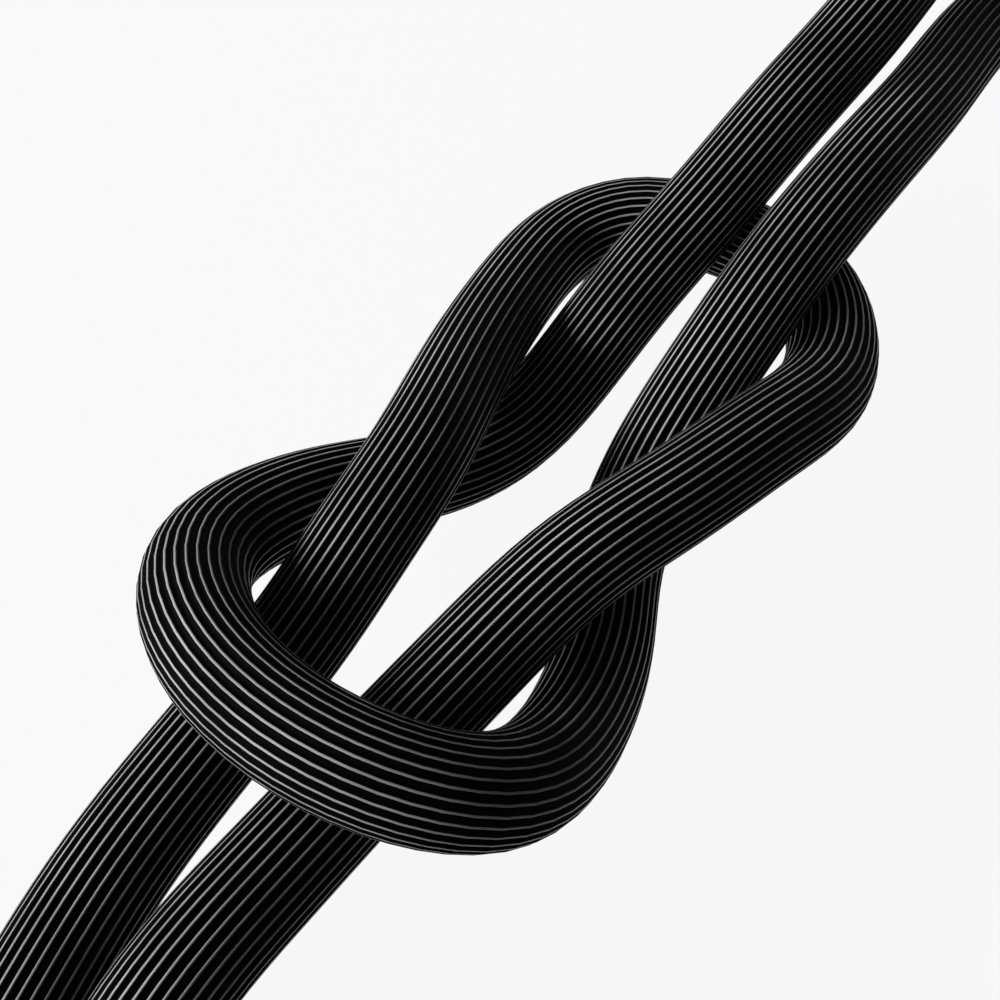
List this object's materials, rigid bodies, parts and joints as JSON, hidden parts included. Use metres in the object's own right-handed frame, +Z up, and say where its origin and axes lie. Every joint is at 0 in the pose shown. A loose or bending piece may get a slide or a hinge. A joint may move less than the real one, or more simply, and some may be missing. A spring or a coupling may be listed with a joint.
{
  "type": "charging cable",
  "caption": "Ribbed round charging cable folded into a tied hank, with its free ends tied in a reef knot and a flat oval plug on each end.",
  "frame": {"origin": "middle of the whole lay, on the surface that it lies on", "axes": "+X along the knot and the hank, from the first end to the second, +Y from the plugs to the knot, +Z up"},
  "size_m": [0.1101, 0.0702, 0.0148],
  "materials": {
    "cable_jacket": "satin black with fine lengthwise ribs",
    "tie_band": "matt black silicone band",
    "plug_steel": "nickel-plated drawn steel",
    "insulator": "matt black moulding",
    "contact_plate": "gold-plated contacts",
    "spring_steel": "stamped spring steel",
    "card": "green solder mask",
    "chip": "black moulded package",
    "wire_jacket": "coloured wire insulation",
    "can_sheet": "tinned folded sheet",
    "plug_housing": "fine matt black moulding",
    "relief": "matt black flexible moulding"
  },
  "bodies": {
    "root": {"cable_first_stretch": "cable_jacket", "cable_second_stretch": "cable_jacket", "hank": "cable_jacket", "hank_tie": "tie_band", "first_shell": "plug_steel", "first_insulator": "insulator", "first_upper_contacts": "contact_plate", "first_lower_contacts": "contact_plate", "first_latch": "spring_steel", "first_ground_springs": "spring_steel", "first_circuit_card": "card", "first_chips": "chip", "first_wires": "wire_jacket", "first_shield_can": "can_sheet", "first_housing": "plug_housing", "first_strain_relief": "relief", "second_shell": "plug_steel", "second_insulator": "insulator", "second_upper_contacts": "contact_plate", "second_lower_contacts": "contact_plate", "second_latch": "spring_steel", "second_ground_springs": "spring_steel", "second_circuit_card": "card", "second_chips": "chip", "second_wires": "wire_jacket", "second_shield_can": "can_sheet", "second_housing": "plug_housing", "second_strain_relief": "relief"}
  },
  "joints": []
}
